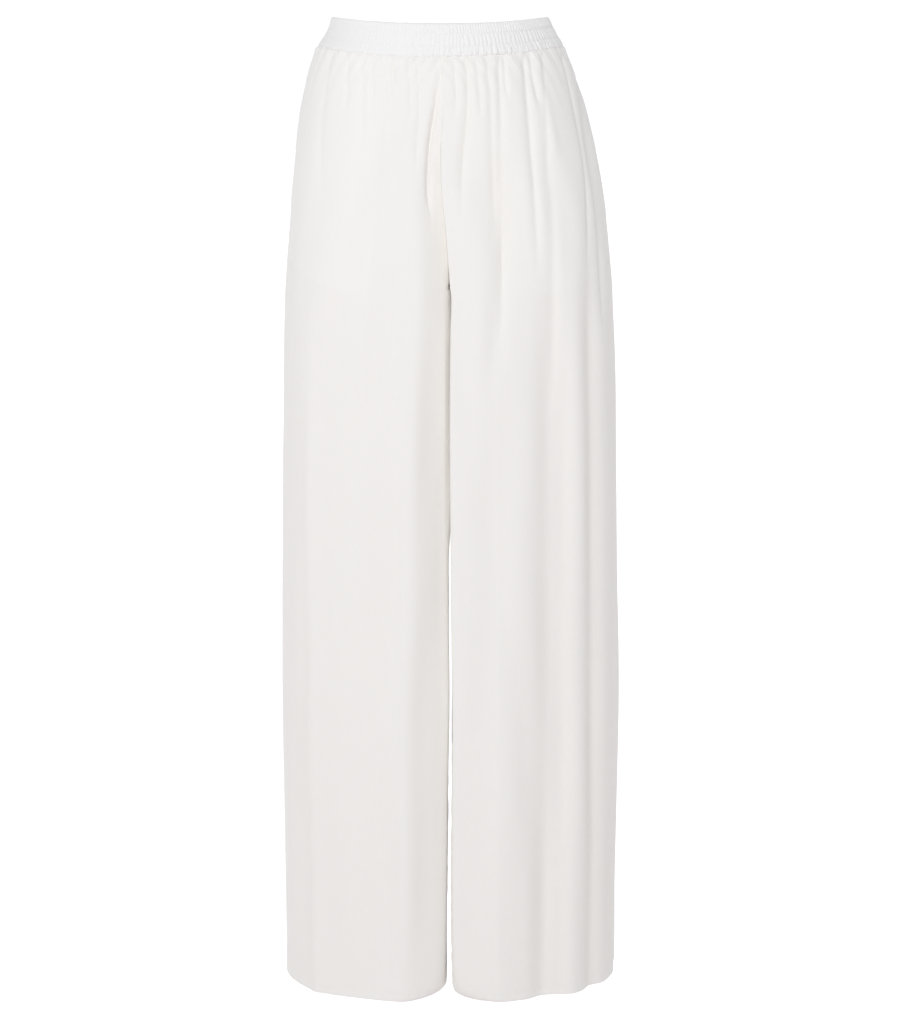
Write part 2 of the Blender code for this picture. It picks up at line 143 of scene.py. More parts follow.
FOLDS[1, "front"] = (
    # Gathers, stronger towards the side.
    (14,    14,  13,  36,  104, 0.9, 0.0, -2.0,   6),
    (27,    25,  18,  36,  205, 1.0, 0.2, -3.4,   8),
    (38,    39,  40,  36,  104, 1.0, 0.0, -2.4,   6),
    (49,    52,  51,  36,  230, 1.0, 0.2, -2.8,   8),
    (62,    60,  55,  36,  330, 1.0, 0.2, -3.6,   7),
    (68,    68,  69,  36,   84, 1.0, 0.0, -2.4,   4),
    (89,    93,  95,  36,  270, 1.0, 0.2, -3.8,   8),
    (95,    99, 104,  36,   98, 1.0, 0.0, -2.4,   5),
    (109,  110, 108,  36,  190, 1.0, 0.0, -2.2,  10),
    (130,  150, 152,  36,  280, 1.0, 0.0, -3.4,   7),
    (102,  112, 120,  36,  160, 1.0, 0.0,  2.0,   9),
    (142,  163, 168,  36,  360, 0.2, 0.0, -6.5,  18),
    (110,  113, 113, 130,  420, 0.0, 0.0, -2.4,  10),
    # Its long soft troughs, and the ridge between them.
    (58,    56,  42, 110,  420, 0.0, 0.0, -3.2,  17),
    (30,    34,  30, 220,  560, 0.0, 0.0,  1.8,  22),
    (104,  109, 105, 110, 1080, 0.0, 1.1, -7.8,  22),
    (124,  126, 125, 150, 1080, 0.0, 1.0, -4.6,  17),
    (152,  160, 164, 110, 1080, 0.0, 0.9, -9.0,  21),
    (70,    72,  66, 440, 1080, 0.0, 0.6,  2.4,  28),
)
FOLDS[-1, "back"] = (
    (16,    15,  12,  37,  190, 0.8, 0.1, -2.6,   9),
    (40,    40,  34,  37,  240, 0.9, 0.0, -3.4,  13),
    (58,    60,  60,  37,  110, 1.0, 0.0, -2.0,   6),
    (86,    92,  98,  37,  220, 0.9, 0.0, -3.4,  13),
    (104,  112, 116,  37,  130, 1.0, 0.0, -2.2,   7),
    (122,  136, 142,  37,  210, 0.9, 0.0, -3.0,  10),
    (60,    66,  78, 250, 1080, 0.0, 0.8, -6.0,  20),
    (128,  124, 118, 300, 1080, 0.0, 0.9, -5.0,  18),
    (96,    98,  98, 320, 1080, 0.0, 0.4,  3.5,  17),
    (34,    36,  40, 420, 1080, 0.0, 0.6,  2.6,  17),
    (70,    52,  30, 262,  360, 0.0, 0.0, -2.2,  11),
)
FOLDS[1, "back"] = (
    (18,    17,  16,  37,  170, 0.8, 0.1, -2.8,   9),
    (52,    50,  44,  37,  230, 0.9, 0.0, -3.8,  14),
    (72,    74,  76,  37,  120, 1.0, 0.0, -2.0,   7),
    (104,  108, 112,  37,  240, 0.9, 0.0, -3.6,  13),
    (122,  134, 140,  37,  150, 1.0, 0.0, -2.6,   8),
    (84,    86,  92, 270, 1080, 0.0, 0.9, -6.5,  21),
    (134,  130, 126, 360, 1080, 0.0, 0.8, -5.0,  17),
    (112,  110, 108, 340, 1080, 0.0, 0.4,  3.5,  16),
    (46,    50,  52, 400, 1080, 0.0, 0.6,  2.8,  18),
    (78,    56,  32, 258,  370, 0.0, 0.0, -2.4,  11),
)
# The inner sides, one bowed into the other below the crotch.
FOLDS[-1, "inner"] = (
    (-98,  -92, -94, 288,  590, 0.8, 0.0,  4.4,   8),
    (-97,  -96, -96, 470,  860, 0.0, 0.0,  1.5,   9),
    (-36,  -36, -36, 420, 1080, 0.0, 1.0, -4.0,  44),
    (60,    66,  70, 680, 1080, 0.0, 0.7, -4.0,  22),
    (-20,  -24, -30, 420, 1080, 0.0, 0.5, -2.0,  18),
)
FOLDS[1, "inner"] = (
    (-101, -95, -97, 288,  590, 0.8, 0.0, -4.4,   9),
    (-42,  -42, -42, 420, 1080, 0.0, 1.0, -4.0,  46),
    (70,    78,  84, 640, 1080, 0.0, 0.7, -4.0,  22),
    (-16,  -20, -26, 440, 1080, 0.0, 0.5, -2.2,  20),
)
FOLDS[-1, "outer"] = (
    (40,    52,  60, 340, 1080, 0.0, 0.8, -4.0,  20),
    (8,     10,   6,  50,  200, 1.0, 0.0, -2.0,   9),
    (84,    88,  92, 300, 1080, 0.0, 0.6, -3.0,  16),
)
FOLDS[1, "outer"] = (
    (30,    42,  52, 300, 1080, 0.0, 0.8, -4.0,  20),
    (20,    22,  16,  50,  210, 1.0, 0.0, -2.4,   9),
    (80,    84,  90, 320, 1080, 0.0, 0.6, -3.0,  16),
)
RING_STEPS = 900
# A fold eases in and out over this share of its length. The waistband's seam holds it down, less
# and less below. Gathers that start near the seam are sharper.
FOLD_EASE = 0.3
FOLD_FALL = 2.2
FOLDS_HELD = ((0, 0.2), (4, 0.5), (16, 1.0))
GATHERS_ABOVE = 60
GATHER_SHARPNESS = 1.3
FOLD_SHARPNESS = 2.0


def size_at(column, depth):
    """A column of the sections at any depth, on a smooth curve through the rows."""
    depths = SECTIONS[:, 0]
    place = SECTION_COLUMNS.index(column)
    row = int(np.clip(np.searchsorted(depths, depth) - 1, 0, len(depths) - 2))
    step = depths[row + 1] - depths[row]
    t = (depth - depths[row]) / step
    return (
        SECTIONS[row, place] * (1 + 2 * t) * (1 - t) ** 2
        + SECTIONS[row + 1, place] * t * t * (3 - 2 * t)
        + SECTION_SLOPES[row, place] * step * t * (1 - t) ** 2
        - SECTION_SLOPES[row + 1, place] * step * t * t * (1 - t)
    )


def power(value, exponent):
    """A power that keeps the value's sign."""
    return np.sign(value) * np.abs(value) ** exponent


def eased(part):
    """A rise from 0 to about 1, slow at first and then even."""
    return (part - (1 - np.exp(-4 * part)) / 4) / 0.755


class Ring:
    """One leg's loop of cloth at one depth, before its folds. Distance round it is zero at the
    outermost point, negative on the front and positive on the back."""

    kept = {}
    quarter = RING_STEPS // 2

    def __init__(self, leg, depth):
        self.closed = size_at("inner", depth) >= 0
        forward = self.draw_loop(depth)
        self.turn_in(leg, depth, forward)
        self.measure()

    def draw_loop(self, depth):
        """The loop's points, and how far forward each lies in the inner front corner."""
        outer = size_at("half_width", depth)
        inner = size_at("inner", depth)
        square = size_at("square", depth)
        corner = size_at("corner", depth)
        half = (outer - inner) / 2
        middle = (outer + inner) / 2
        front_end = back_end = math.pi
        if not self.closed:
            reached = max(middle, 0.0) / half
            front_end = math.acos(-(reached ** (corner / 2)))
            back_end = math.acos(-(reached ** (square / 2)))
        turn = np.append(
            np.linspace(-front_end, 0, RING_STEPS + 1), np.linspace(0, back_end, RING_STEPS + 1)[1:]
        )
        quarter = self.quarter
        if corner > SQUARED_ABOVE:
            turn[quarter : RING_STEPS + 1] = np.linspace(-math.pi / 2, 0, quarter + 1)
        at_corner = (np.cos(turn) < 0) & (np.sin(turn) < 0)
        exponent = np.where(at_corner, corner, square)
        across = power(np.cos(turn), 2 / exponent)
        along = power(np.sin(turn), 2 / exponent)
        if corner > SQUARED_ABOVE:
            turned = np.linspace(math.pi - front_end, math.pi / 2, quarter // 2 + 1)[:-1]
            by_turn = np.cos(turned) ** (2 / corner)
            by_width = by_turn[0] * (np.arange(quarter // 2) + 0.5) / (quarter // 2)
            width = np.sort(np.append(by_turn, by_width))[::-1]
            across[:quarter] = -width
            along[:quarter] = -((1 - width**corner) ** (1 / corner))
            at_corner[:quarter] = True
        reach = np.where(along < 0, size_at("front", depth), size_at("back", depth))
        shear = size_at("shear", depth)
        forward = at_corner * np.abs(along)
        self.x = middle + half * across
        self.y = size_at("centre_y", depth) + reach * along + shear * across
        self.y += forward * shear * np.clip(-SHEAR_UNTIL - across, 0, 1)
        return forward

    def turn_in(self, leg, depth, forward):
        """Tucks in and rolls the right leg's inner front corner, and sinks the centre seam."""
        from_edge = self.x - max(size_at("inner", depth), 0.0)
        tuck = size_at("tuck", depth)
        roll = np.interp(depth, *zip(*EDGE_ROLL))
        seam_behind = np.interp(depth, *zip(*GROOVE))
        if leg < 0:
            tuck_width = np.interp(depth, *zip(*TUCK_WIDTH))
            for size, width in ((tuck, tuck_width), (roll, EDGE_ROLL_WIDTH)):
                self.y += forward * size * eased(np.clip(1 - from_edge / width, 0, 1))
        else:
            seam_behind += tuck + roll
        if not self.closed:
            self.y += forward * seam_behind * np.clip(1 - from_edge / GROOVE_WALL, 0, 1)

    def measure(self):
        """Distances round the loop, the way out from it, and the end of its inner corner."""
        if self.closed:
            self.x = np.append(self.x, self.x[1 : self.quarter])
            self.y = np.append(self.y, self.y[1 : self.quarter])
        self.at = np.append(0.0, np.cumsum(np.hypot(np.diff(self.x), np.diff(self.y))))
        self.at -= self.at[RING_STEPS]
        self.front_end = self.at[0]
        self.back_end = self.at[2 * RING_STEPS]
        slope_x = np.gradient(self.x, self.at)
        slope_y = np.gradient(self.y, self.at)
        length = np.hypot(slope_x, slope_y)
        self.out_x = slope_y / length
        self.out_y = -slope_x / length
        self.corner = self.at[np.argmax(self.out_x[: self.quarter] > CORNER_FACING)]

    def find(self, face, place):
        """Distance round the loop of a place on one of its faces."""
        low, high, values = {
            "front": (0, RING_STEPS, self.x),
            "back": (RING_STEPS, 2 * RING_STEPS, self.x),
            "outer": (RING_STEPS - self.quarter, RING_STEPS + self.quarter, self.y),
            "inner": (2 * RING_STEPS - self.quarter, 2 * RING_STEPS, self.y),
        }[face]
        values, at = values[low : high + 1], self.at[low : high + 1]
        if face == "inner" and self.closed:
            values = np.append(values, self.y[: self.quarter])
            at = np.append(at, self.at[: self.quarter] + self.back_end - self.front_end)
        order = np.argsort(values)
        return np.interp(place, values[order], at[order])


def ring_at(leg, depth):
    """A leg's ring at a depth, worked out once."""
    key = (leg, round(float(depth), 3))
    if key not in Ring.kept:
        Ring.kept[key] = Ring(*key)
    return Ring.kept[key]


def fold_strength(fold, depth):
    """How strong a fold is at a depth: it eases in from its top and out at its bottom."""
    along = (depth - fold["top"]) / (fold["bottom"] - fold["top"])
    rise = min(along / FOLD_EASE, 1.0)
    fall = min((1 - along) / FOLD_EASE, 1.0)
    ease_in = fold["at_top"] + (1 - fold["at_top"]) * rise * rise * (3 - 2 * rise)
    ease_out = fold["at_bottom"] + (1 - fold["at_bottom"]) * fall * fall * (3 - 2 * fall)
    return ease_in * ease_out


def folds_across(leg, depth):
    """A leg's folds that cross a depth."""
    for (on_leg, face), rows in FOLDS.items():
        for row in rows:
            fold = dict(zip(FOLD_COLUMNS, row), face=face)
            if on_leg == leg and fold["top"] <= depth <= fold["bottom"]:
                yield fold


def folds_at(leg, depth, distance):
    """How far the placed folds lift the cloth, at distances round a leg."""
    ring = ring_at(leg, depth)
    round_whole = ring.back_end - ring.front_end
    lift = np.zeros_like(distance)
    held = float(np.interp(depth - BAND_DEPTH, *zip(*FOLDS_HELD)))
    for fold in folds_across(leg, depth):
        t = (depth - fold["top"]) / (fold["bottom"] - fold["top"])
        place = (
            fold["place"] * (1 - t) * (1 - 2 * t)
            + fold["place_mid"] * 4 * t * (1 - t)
            + fold["place_low"] * t * (2 * t - 1)
        )
        off = distance - ring.find(fold["face"], place)
        if ring.closed:
            off = off - round_whole * np.round(off / round_whole)
        amount = fold["height"] * fold_strength(fold, depth) * held
        gather = fold["top"] < GATHERS_ABOVE and fold["height"] < 0
        sharpness = GATHER_SHARPNESS if gather else FOLD_SHARPNESS
        lift += amount * np.exp(-FOLD_FALL * np.abs(off / fold["width"]) ** sharpness)
    return lift


RIPPLES = 26
RIPPLE_SEEDS = {1: 31, -1: 47}


def ripples_at(leg, depth, distance):
    """The slight unevenness of hanging crepe, long up and down and short across."""
    chance = np.random.default_rng(RIPPLE_SEEDS[leg])
    lift = np.zeros_like(distance)
    quiet = min(1.0, max(0.0, (depth - 60) / 120))
    for _ in range(RIPPLES):
        across = chance.uniform(34, 95)
        down = chance.uniform(260, 900)
        start = chance.uniform(0, 2 * math.pi)
        lean = chance.uniform(-0.05, 0.05)
        height = chance.uniform(0.1, 0.32) * quiet
        wave = 2 * math.pi * ((distance + lean * depth) / across)
        lift += height * np.sin(wave + start) * math.sin(2 * math.pi * depth / down + start * 3)
    return lift


def hang_at(leg, depth, distance):
    """The lift of the folds and the crepe's unevenness."""
    return folds_at(leg, depth, distance) + ripples_at(leg, depth, distance)


PUCKERS_END = 60
FINE_PUCKER = 5.6
COARSE_PUCKER = 14.5
UNLIKE_SIDES = 333


def puckers_at(leg, depth, distance):
    """The seam under the waistband pinches the cloth in, and it swells out in small uneven
    puckers just below."""
    below = depth - BAND_DEPTH
    if below > PUCKERS_END:
        return np.zeros_like(distance)
    side = distance + (0 if leg > 0 else UNLIKE_SIDES)
    drift = 2.3 * np.sin(side / 31.0) + 1.4 * np.sin(side / 12.7 + 1.0)
    fine = 1 - 2 * np.abs(np.sin(math.pi * (side + drift) / FINE_PUCKER)) ** 0.7
    strong = 0.5 + 0.5 * np.sin(side / 17.0 + 0.6) * np.sin(side / 7.3)
    fine_fade = math.exp(-max(below - 1.0, 0.0) / 6.5) * min(1.0, max(below, 0.0))
    coarse = np.sin(2 * math.pi * (side + 1.6 * drift) / COARSE_PUCKER + 0.9)
    swell = max(below, 0.0) / 2.1
    swollen = 0.8 * swell * math.exp(1 - swell)
    pinched = 0.75 * math.exp(-max(below + 1.2, 0.0) / 1.1)
    lift = 0.7 * coarse * math.exp(-below / 26.0) - 0.8 * fine * strong * fine_fade
    return lift + swollen - pinched


def dip_at(y, depth):
    """How much lower the waist is at the front and back than at the sides. At the sides the
    swelling cloth also lifts the waistband's seam."""
    left = max(0.0, 1 - depth / LEVEL_BELOW)
    share = (y / np.where(y < 0, size_at("front", depth), size_at("back", depth))) ** 2
    lifted = SIDE_LIFT * np.interp(depth, (0, BAND_DEPTH, LEVEL_BELOW), (0.0, 1.0, 0.0))
    return np.where(y < 0, FRONT_DIP, BACK_DIP) * share * left - lifted * np.clip(1 - share, 0, 1)


def on_form(leg, depth, distance, out, keep_side=True):
    """Points of the garment in metres, so far round a leg at one depth and so far out from it."""
    ring = ring_at(leg, depth)
    sideways = out * np.interp(distance, ring.at, ring.out_x)
    if keep_side and not ring.closed:
        held = np.exp(-(((ring.back_end - distance) / SEAM_HOLD) ** 2))
        held = held + np.exp(-(((distance - ring.front_end) / FRONT_SEAM_HOLD) ** 2))
        sideways = sideways * (1 - held)
    x = np.interp(distance, ring.at, ring.x) + sideways
    y = np.interp(distance, ring.at, ring.y) + out * np.interp(distance, ring.at, ring.out_y)
    if keep_side and not ring.closed:
        x = np.maximum(x, SEAM_CLEARANCE)
    sway = size_at("front_sway", depth) * np.exp(-((x / 60) ** 2)) * np.clip(-y / 40, 0, 1)
    world_x = leg * x + sway + size_at("mid_x", depth)
    return np.stack((world_x * MM, y * MM, -(depth + dip_at(y, depth)) * MM), axis=-1)


# How far the inseam hangs behind the inner front corner.
INSEAM_BEHIND = 18.0
# The shares of a panel's columns before its corner and before the leg's face, the least reach of
# a front's corner, and the face's width in half widths of the leg.
CORNER_SHARE = 0.05
INNER_SHARE = 7 / 18
CORNER_REACH = 7.0
WIDTH_IN_STEP = 1.9
# How far the cloth rolls in at a seam, and how strongly the stitching draws it.
SEAM_ROLL = 0.35
SEAM_DRAW = 0.42
# A pocket's mouth: its ends, how far it gapes, how long it takes to open, and its lip's width.
MOUTH_TOP = 78.0
MOUTH_FOOT = 226.0
MOUTH_GAPE = 1.6
MOUTH_ENDS = 22.0
MOUTH_LIP = 7.0


def panel_ends(leg, face, depth):
    """Distance round the leg of a panel's inner edge and of its side seam."""
    ring = ring_at(leg, depth)
    lead = size_at("inseam", depth) * (ring.corner - ring.front_end - INSEAM_BEHIND) * ring.closed
    side = size_at("side_lag", depth)
    if face == "front":
        return ring.front_end + lead + SEAM_CLEARANCE, side - SEAM_CLEARANCE
    return ring.back_end + lead - SEAM_CLEARANCE, side + SEAM_CLEARANCE


def across_panel(leg, face, depth, share):
    """Distances round the leg at shares of a panel's width, from inner edge to side seam. The
    same columns of a front always lie round its inner corner."""
    inner_edge, side_seam = panel_ends(leg, face, depth)
    full = math.copysign(WIDTH_IN_STEP * size_at("half_width", depth), inner_edge - side_seam)
    knee = side_seam + full * (1 - INNER_SHARE)
    corner = inner_edge + (knee - inner_edge) * CORNER_SHARE / INNER_SHARE
    if face == "front":
        corner = max(ring_at(leg, depth).corner, inner_edge + CORNER_REACH)
    return np.interp(share, (0, CORNER_SHARE, INNER_SHARE, 1), (inner_edge, corner, knee, side_seam))


def seam_relief(leg, face, depth, distance):
    """The cloth rolls in at each seam, and the stitching draws it into small puckers."""
    inner_edge, side_seam = panel_ends(leg, face, depth)
    from_inner = np.abs(distance - inner_edge)
    from_side = np.abs(distance - side_seam)
    tight = 0.5 + 0.5 * math.sin(depth / 21.0 + leg) * math.sin(depth / 8.3)
    draw = math.sin(2 * math.pi * depth / (9.5 + 1.5 * math.sin(depth / 70.0)) + leg)
    quiet = 0.15 if face == "front" and depth < LEVEL_BELOW else 1.0
    lift = -SEAM_ROLL * (quiet * np.exp(-from_inner / 1.1) + np.exp(-from_side / 1.1))
    drawn = SEAM_DRAW * quiet * tight * draw
    if depth > 400:
        drawn *= 1 + 0.9 * min(1.0, (depth - 400) / 350)
    lift = lift + drawn * np.exp(-((from_inner / 6.5) ** 2))
    lift = lift + 0.6 * drawn * np.exp(-((from_side / 6.0) ** 2))
    open_mouth = np.clip(min(depth - MOUTH_TOP, MOUTH_FOOT - depth) / MOUTH_ENDS, 0, 1)
    if face == "front" and open_mouth > 0:
        gape = MOUTH_GAPE * math.sin(open_mouth * math.pi / 2)
        lift = lift + gape * np.exp(-from_side / MOUTH_LIP)
    return lift


def cloth_lift(leg, face, depth, distance):
    """All of the cloth's relief. A back meets the other back, and lower down its own front,
    evenly at the seam. The hem's stitching sinks into the cloth and draws it up a little."""
    lift = hang_at(leg, depth, distance)
    if face == "back":
        closed = ring_at(leg, depth).closed
        edge = np.array([panel_ends(leg, "back", depth)[0]])
        facing = (leg, "front") if closed else (-leg, "back")
        across = np.array([panel_ends(*facing, depth)[0]])
        unlike = hang_at(facing[0], depth, across) - hang_at(leg, depth, edge)
        near_seam = np.exp(-(((edge - distance) / SEAM_HOLD) ** 2))
        lift = lift + near_seam * unlike * (1.0 if closed else 0.5)
    lift = lift + puckers_at(leg, depth, distance) + seam_relief(leg, face, depth, distance)
    near_hem = math.exp(-(((depth - HEM_STITCHED_AT) / 5.0) ** 2))
    drawn = 0.12 * np.sin(distance / 1.9) * (1 + np.sin(distance / 23.0)) * near_hem
    return lift + drawn - 0.3 * math.exp(-(((depth - HEM_STITCHED_AT) / 1.5) ** 2))


def even_shares(count, edge=0.8, reach=5.0):
    """Shares from 0 to 1, set closer together near both ends."""
    index = np.arange(count)
    nearest = np.minimum(index, count - 1 - index)
    widths = 1 - edge * np.exp(-nearest / reach)
    return np.append(0.0, np.cumsum(widths)) / np.sum(widths)


# How far apart a panel's rows are, at each depth.
ROW_SPACING = (
    (38, 0.6), (52, 1.2), (75, 2.4), (120, 4.6), (225, 4.6), (240, 2.4), (292, 2.4), (310, 4.6),
    (420, 8.0), (1040, 8.0), (1060, 3.0), (1079, 0.9),
)


def panel_depths():
    """Rows down a panel, closer where the gathers are fine and at the hem."""
    depths = [BAND_DEPTH - 1.2]
    while depths[-1] < LENGTH - HEM_TURN - 0.7:
        depths.append(depths[-1] + float(np.interp(depths[-1], *zip(*ROW_SPACING))))
    depths[-1] = LENGTH - HEM_TURN
    return depths


def add_object(name, data):
    """An object of the given data, put into the scene."""
    made = bpy.data.objects.new(name, data)
    bpy.context.scene.collection.objects.link(made)
    return made


def add_built(name, mesh):
    """An object with the mesh that bmesh has built."""
    data = bpy.data.meshes.new(name)
    mesh.to_mesh(data)
    mesh.free()
    return add_object(name, data)


def points_of(data):
    """A mesh's points, a row for each."""
    points = np.empty(len(data.vertices) * 3)
    data.vertices.foreach_get("co", points)
    return points.reshape(-1, 3)


def flat_cloth(name, columns, rows, place):
    """A flat rectangle of cloth, divided into cells, with its points put in place by row and
    column. It carries a UV map of the flat cloth, in metres."""
    mesh = bmesh.new()
    bmesh.ops.create_grid(mesh, x_segments=columns, y_segments=rows, size=0.5)
    piece = add_built(name, mesh)
    data = piece.data
    flat = points_of(data)
    column = np.rint((flat[:, 0] + 0.5) * columns).astype(int)
    row = np.rint((flat[:, 1] + 0.5) * rows).astype(int)
    points, cut = place()
    data.vertices.foreach_set("co", points[row, column].ravel())
    corner = np.empty(len(data.loops), dtype=int)
    data.loops.foreach_get("vertex_index", corner)
    weave = data.uv_layers.new(name="cut")
    weave.data.foreach_set("uv", (cut[row, column][corner] * MM).ravel())
    data.update()
    data.shade_smooth()
    return piece


def face_outwards(piece, outwards):
    """Turns the cloth's right side out, judged by its face furthest out that way."""
    outwards = Vector(outwards)
    furthest = max(piece.data.polygons, key=lambda face: face.center.dot(outwards))
    if furthest.normal.dot(outwards) < 0:
        piece.data.flip_normals()


def thicken(piece, thickness):
    """Gives cloth its thickness, inwards from its right side."""
    wall = piece.modifiers.new("thickness", "SOLIDIFY")
    wall.thickness = thickness * MM
    wall.offset = -1.0
    wall.use_even_offset = False
    wall.use_rim = True


def add_node(tree, kind, inputs=(), **settings):
    """A shader node with the given settings and the values of its inputs."""
    node = tree.nodes.new(f"ShaderNode{kind}")
    for setting, value in settings.items():
        setattr(node, setting, value)
    for name, value in dict(inputs).items():
        node.inputs[name].default_value = value
    return node


def join(tree, source, output, target, entry):
    """Links one node's output to another's input."""
    tree.links.new(source.outputs[output], target.inputs[entry])


def new_material(name, inputs):
    """A material with its shader's inputs set, and its node tree and shader."""
    material = bpy.data.materials.new(name)
    material.use_nodes = True
    shader = material.node_tree.nodes["Principled BSDF"]
    for entry, value in inputs.items():
        shader.inputs[entry].default_value = value
    return material, material.node_tree, shader


def crepe_material(name, colour, painted_bag_light_colour, grain=1.0):
    """Matte crepe: a fine pebbled grain over a longer crinkle, both longer down the cloth than
    across it. It is painted a little lighter where a pocket bag lies behind it: painted light, for
    the light the bag sends back through the cloth."""
    cloth, tree, shader = new_material(name, {
        "Roughness": 0.82, "Specular IOR Level": 0.25, "Sheen Weight": 0.12, "Sheen Roughness": 0.5,
    })
    cut = add_node(tree, "UVMap", uv_map="cut")
    grains = []
    for lengthened, noise, bump in (
        (0.45, {"Scale": 1150.0, "Detail": 3.0, "Roughness": 0.6},
         {"Strength": 0.35 * grain, "Distance": 0.00025}),
        (0.16, {"Scale": 210.0, "Detail": 2.0}, {"Strength": 0.3 * grain, "Distance": 0.0006}),
    ):
        stretch = add_node(tree, "Mapping", {"Scale": (1.0, lengthened, 1.0)})
        grained = add_node(tree, "TexNoise", noise)
        raised = add_node(tree, "Bump", bump)
        join(tree, cut, "UV", stretch, "Vector")
        join(tree, stretch, "Vector", grained, "Vector")
        join(tree, grained, "Fac", raised, "Height")
        grains.append((grained, raised))
    (pebble, fine), (_, crinkle) = grains
    join(tree, fine, "Normal", crinkle, "Normal")
    join(tree, crinkle, "Normal", shader, "Normal")
    # Painted light: where a pocket bag lies behind the crepe, its colour is painted lighter for the
    # light the bag sends back through it.
    painted_bag_light = add_node(tree, "Attribute", attribute_name="painted_bag_light")
    bag_light_mixed = add_node(
        tree, "Mix", {"A": (*colour, 1.0), "B": (*painted_bag_light_colour, 1.0)}, data_type="RGBA"
    )
    mottle = add_node(tree, "Mix", {"Factor": 1.0}, data_type="RGBA", blend_type="MULTIPLY")
    shade = add_node(tree, "MapRange", {"To Min": 0.965, "To Max": 1.02})
    join(tree, painted_bag_light, "Fac", bag_light_mixed, "Factor")
    join(tree, pebble, "Fac", shade, "Value")
    join(tree, bag_light_mixed, "Result", mottle, "A")
    join(tree, shade, "Result", mottle, "B")
    join(tree, mottle, "Result", shader, "Base Color")
    return cloth


def thread_material():
    """Spun sewing thread, a little glossier than the crepe, with its twist as fine ridges."""
    thread, tree, shader = new_material(
        "sewing_thread", {"Base Color": (0.93, 0.91, 0.865, 1.0), "Roughness": 0.55}
    )
    here = add_node(tree, "TexCoord")
    twist = add_node(tree, "TexWave", {"Scale": 900.0}, bands_direction="DIAGONAL")
    bump = add_node(tree, "Bump", {"Strength": 0.4, "Distance": 0.0001})
    join(tree, here, "Object", twist, "Vector")
    join(tree, twist, "Fac", bump, "Height")
    join(tree, bump, "Normal", shader, "Normal")
    return thread


def sew(name, starts, ends, thickness=THREAD):
    """Stitches from each start to each end, in metres, sunk half into the cloth."""
    mesh = bmesh.new()
    for start, end in zip(starts, ends):
        start, end = Vector(start), Vector(end)
        radius = thickness / 2 * MM
        size = Matrix.Diagonal((radius, radius, (end - start).length / 2, 1.0))
        lie = (end - start).to_track_quat("Z", "Y").to_matrix().to_4x4()
        place = Matrix.Translation((start + end) / 2) @ lie @ size
        bmesh.ops.create_uvsphere(mesh, u_segments=5, v_segments=3, radius=1.0, matrix=place)
    piece = add_built(name, mesh)
    piece.data.shade_smooth()
    piece.data.materials.append(sewing_thread)
    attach(piece, "root")
    return piece


# How far the hem's stitches stand out, and how far from a panel's edges they start and end.
HEM_STITCH_OUT = 0.05
HEM_STITCHES_FROM = 2.0
HEM_STITCHES_SHORT = 4.0
# A tack stands out more, in thicker thread. Its stitches, and its reach up, down and sideways.
TACK_OUT = 0.15
TACK_STITCHES = 8
TACK_HEIGHT = 1.6
TACK_REACH = 3.2
TACK_THREAD = 0.45


def sew_hem(side, face):
    """A row of stitches round one panel's hem."""
    leg = 1 if side == "left" else -1
    first, last = sorted(panel_ends(leg, face, HEM_STITCHED_AT))
    distance = np.arange(first + HEM_STITCHES_FROM, last - HEM_STITCHES_SHORT, STITCH_STEP)
    ends = []
    for step in (0.0, STITCH):
        out = cloth_lift(leg, face, HEM_STITCHED_AT, distance + step)
        ends.append(on_form(leg, HEM_STITCHED_AT, distance + step, out + HEM_STITCH_OUT))
    return sew(f"hem_stitches_{face}_{side}", *ends)


def tack_mouth(side):
    """The bars of close stitches across the side seam that hold the ends of a pocket's mouth."""
    leg = 1 if side == "left" else -1
    starts, ends = [], []
    for end_depth in (MOUTH_TOP, MOUTH_FOOT):
        for step in np.linspace(-TACK_HEIGHT, TACK_HEIGHT, TACK_STITCHES):
            depth = end_depth + step
            seam = panel_ends(leg, "front", depth)[1]
            for distance, points in ((seam - TACK_REACH, starts), (seam + TACK_REACH, ends)):
                distance = np.array([distance])
                out = cloth_lift(leg, "front", depth, distance)
                points.append(on_form(leg, depth, distance, out + TACK_OUT)[0])
    return sew(f"mouth_tacks_{side}", starts, ends, TACK_THREAD)


# The light a bag sends back through a front is painted into the front's colour, as a lighter patch
# with a curved foot: how far its inner edge is from the middle at each depth, how deep its foot is
# so far out, and how soft its edges are.
BAG_INNER = ((36, 66), (110, 68), (170, 74), (245, 81), (290, 87))
BAG_FOOT = (
    (60, 297), (88, 295), (112, 291), (128, 287), (143, 282), (158, 274), (172, 262), (190, 240),
)
BAG_FADE = ((60, 26.0), (160, 10.0), (260, 3.0))
BAG_FOOT_FADE = 2.5


def painted_bag_light_at(x, depth):
    """Painted light of a pocket bag: 1 where the bag lies behind the front, and 0 elsewhere, with
    soft edges.
    """
    inner = np.interp(depth, *zip(*BAG_INNER))
    foot = np.interp(x, *zip(*BAG_FOOT))
    fade = np.interp(depth, *zip(*BAG_FADE))
    across = np.clip((x - inner) / fade + 0.5, 0, 1)
    down = np.clip((foot - depth) / BAG_FOOT_FADE + 0.5, 0, 1)
    return across * down


# The crepe's own colour, and the lighter colour painted where a pocket bag lies behind it: painted
# light, for the light the bag sends back through the cloth.
IVORY = (0.922, 0.899, 0.852)
IVORY_PAINTED_BAG_LIGHT = (0.932, 0.912, 0.868)
crepe = crepe_material("ivory_crepe", IVORY, IVORY_PAINTED_BAG_LIGHT)
sewing_thread = thread_material()


def hem_rows(straight):
    """The hem's rows, round its turn and up inside: depth, how far in, and how far down the flat
    cloth."""
    rows = []
    for angle in np.linspace(0, math.pi, 8)[1:]:
        depth = straight + HEM_TURN * math.sin(angle)
        rows.append((depth, HEM_TURN * (1 - math.cos(angle)), straight + HEM_TURN * angle))
    for rise in np.linspace(0, HEM_DEPTH - HEM_TURN, 5)[1:]:
        rows.append((straight - rise, 2 * HEM_TURN, straight + HEM_TURN * math.pi + rise))
    return rows


